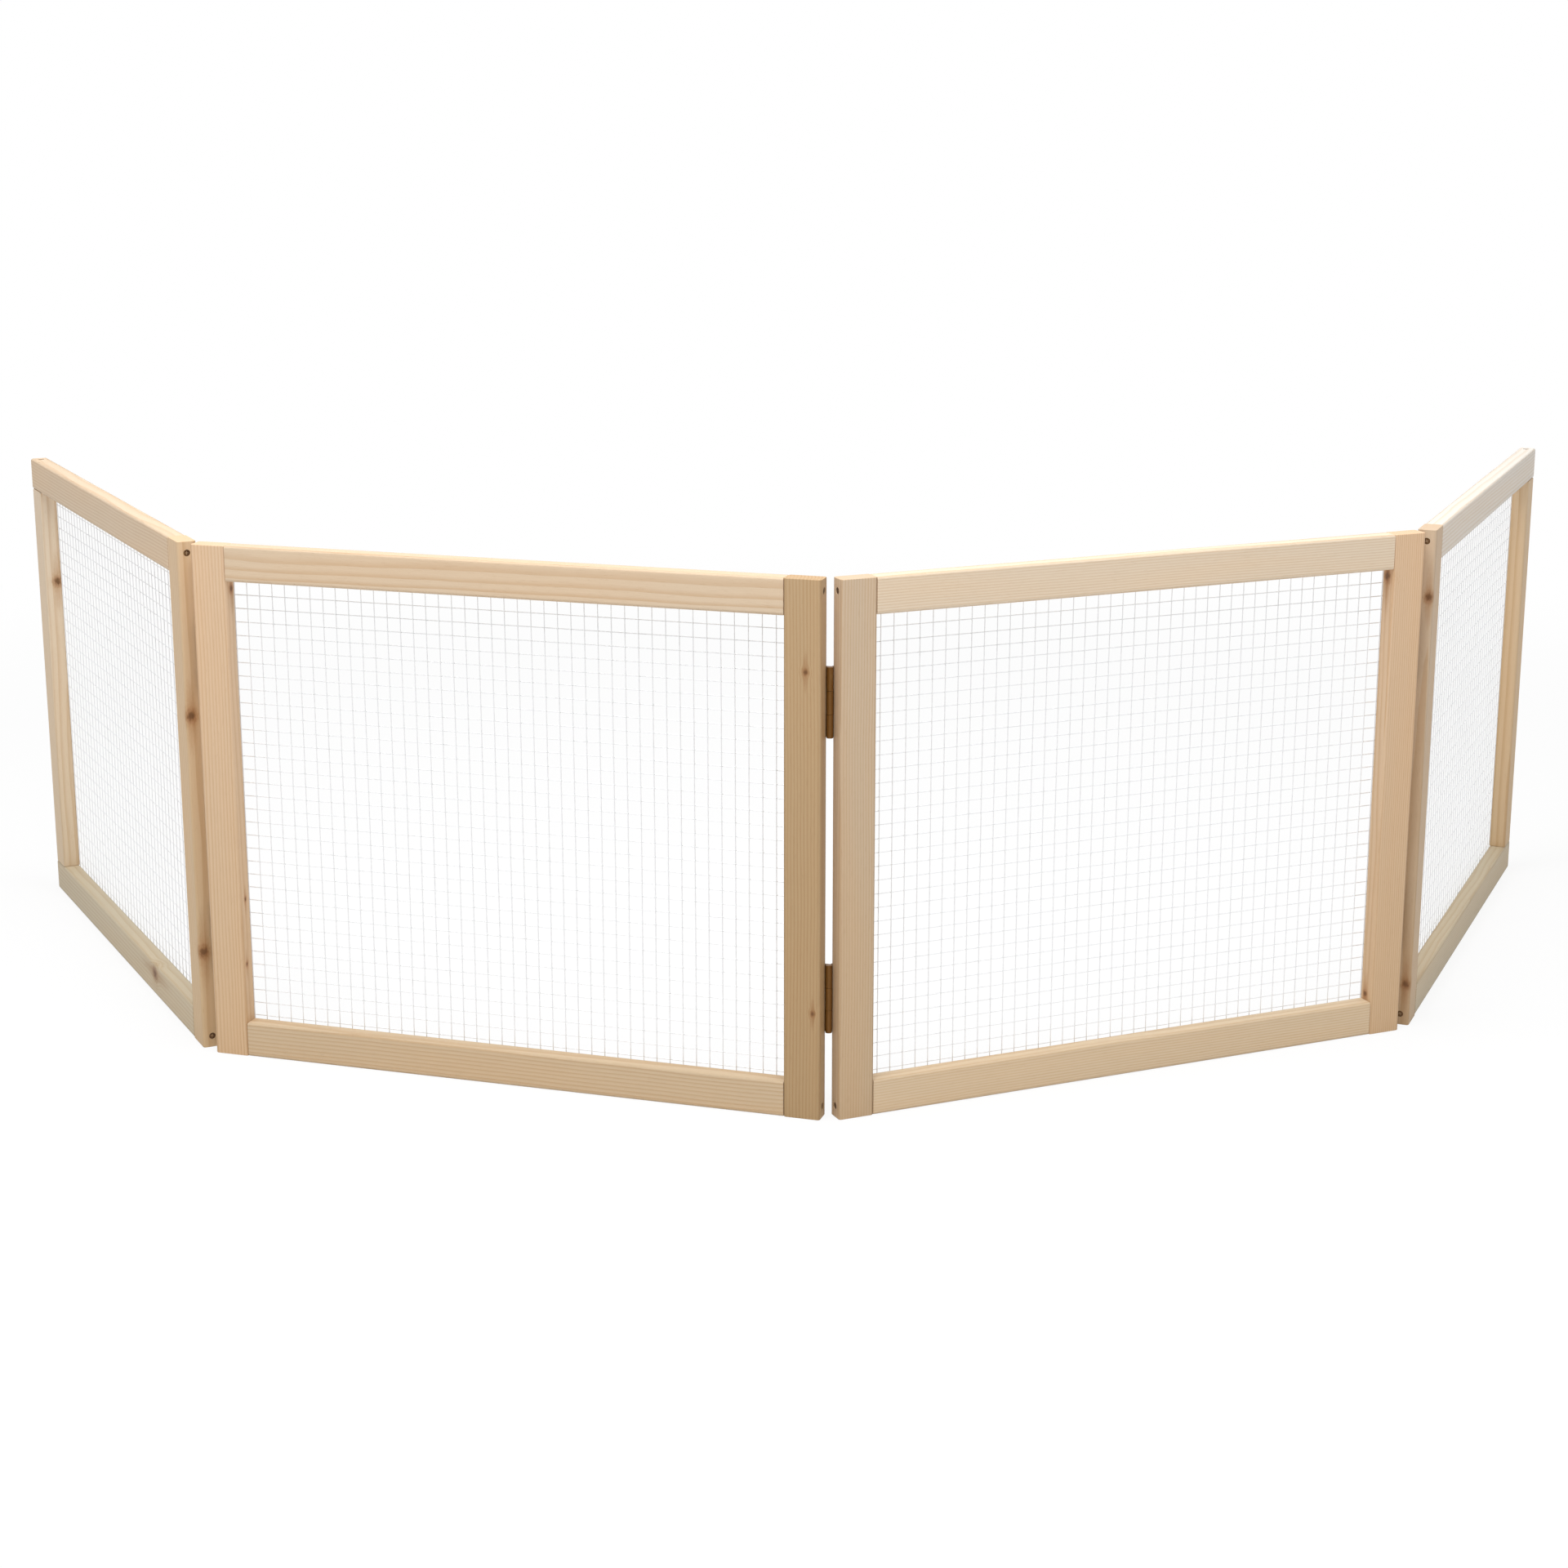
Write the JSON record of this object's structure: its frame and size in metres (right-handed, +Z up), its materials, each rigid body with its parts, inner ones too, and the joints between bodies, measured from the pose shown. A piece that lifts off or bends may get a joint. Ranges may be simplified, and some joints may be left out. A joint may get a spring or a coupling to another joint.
{
  "type": "small animal pen",
  "caption": "Folding run for small animals: wooden frames filled with welded wire mesh, hinged edge to edge so that they stand in a fan or close into a square.",
  "frame": {"origin": "middle of the footprint, on the ground", "axes": "+X along the fan from its left end to its right, +Y from the outside faces towards the run that the pen encloses, +Z up"},
  "size_m": [1.6708, 0.7798, 0.49],
  "materials": {
    "planed_pine": "planed, unvarnished",
    "galvanised_wire": "bright zinc",
    "galvanised_staple": "zinc",
    "bronzed_hinge": "bronzed, satin",
    "bronzed_pin": "bronzed, satin",
    "hinge_screw": "bronzed, satin",
    "dark_screw": "phosphated, dark"
  },
  "bodies": {
    "left_end_panel": {"left_joint_lower_inner_knuckle_leaf": "bronzed_hinge", "left_joint_upper_inner_knuckle_leaf": "bronzed_hinge", "left_end_free_stile": "planed_pine", "left_end_hinge_stile": "planed_pine", "left_end_top_rail": "planed_pine", "left_end_bottom_rail": "planed_pine", "left_end_mesh_upright_wires": "galvanised_wire", "left_end_mesh_cross_wires": "galvanised_wire", "left_end_mesh_staples": "galvanised_staple", "left_end_corner_screws": "dark_screw", "left_end_hinge_screws": "hinge_screw"},
    "left_centre_panel": {"left_joint_lower_outer_knuckle_leaf": "bronzed_hinge", "left_joint_lower_hinge_pin": "bronzed_pin", "left_joint_upper_outer_knuckle_leaf": "bronzed_hinge", "left_joint_upper_hinge_pin": "bronzed_pin", "centre_joint_lower_outer_knuckle_leaf": "bronzed_hinge", "centre_joint_lower_hinge_pin": "bronzed_pin", "centre_joint_upper_outer_knuckle_leaf": "bronzed_hinge", "centre_joint_upper_hinge_pin": "bronzed_pin", "left_centre_outer_stile": "planed_pine", "left_centre_inner_stile": "planed_pine", "left_centre_top_rail": "planed_pine", "left_centre_bottom_rail": "planed_pine", "left_centre_mesh_upright_wires": "galvanised_wire", "left_centre_mesh_cross_wires": "galvanised_wire", "left_centre_mesh_staples": "galvanised_staple", "left_centre_corner_screws": "dark_screw", "left_centre_hinge_screws": "hinge_screw"},
    "right_centre_panel": {"centre_joint_lower_inner_knuckle_leaf": "bronzed_hinge", "centre_joint_upper_inner_knuckle_leaf": "bronzed_hinge", "right_joint_lower_outer_knuckle_leaf": "bronzed_hinge", "right_joint_lower_hinge_pin": "bronzed_pin", "right_joint_upper_outer_knuckle_leaf": "bronzed_hinge", "right_joint_upper_hinge_pin": "bronzed_pin", "right_centre_inner_stile": "planed_pine", "right_centre_outer_stile": "planed_pine", "right_centre_top_rail": "planed_pine", "right_centre_bottom_rail": "planed_pine", "right_centre_mesh_upright_wires": "galvanised_wire", "right_centre_mesh_cross_wires": "galvanised_wire", "right_centre_mesh_staples": "galvanised_staple", "right_centre_corner_screws": "dark_screw", "right_centre_hinge_screws": "hinge_screw"},
    "right_end_panel": {"right_joint_lower_inner_knuckle_leaf": "bronzed_hinge", "right_joint_upper_inner_knuckle_leaf": "bronzed_hinge", "right_end_hinge_stile": "planed_pine", "right_end_free_stile": "planed_pine", "right_end_top_rail": "planed_pine", "right_end_bottom_rail": "planed_pine", "right_end_mesh_upright_wires": "galvanised_wire", "right_end_mesh_cross_wires": "galvanised_wire", "right_end_mesh_staples": "galvanised_staple", "right_end_corner_screws": "dark_screw", "right_end_hinge_screws": "hinge_screw"}
  },
  "joints": [
    {"name": "left_fold", "type": "hinge", "parent": "left_centre_panel", "child": "left_end_panel", "pos_m": [-0.57999, -0.16412, 0.245], "axis": [0, 0, -1], "range_deg": [-66, 44]},
    {"name": "centre_fold", "type": "hinge", "parent": "left_centre_panel", "child": "right_centre_panel", "pos_m": [-0.0118, -0.37656, 0.245], "axis": [0, 0, 1], "range_deg": [-61, 49]},
    {"name": "right_fold", "type": "hinge", "parent": "right_centre_panel", "child": "right_end_panel", "pos_m": [0.55638, -0.16412, 0.245], "axis": [0, 0, 1], "range_deg": [-63.5, 46.5]}
  ]
}
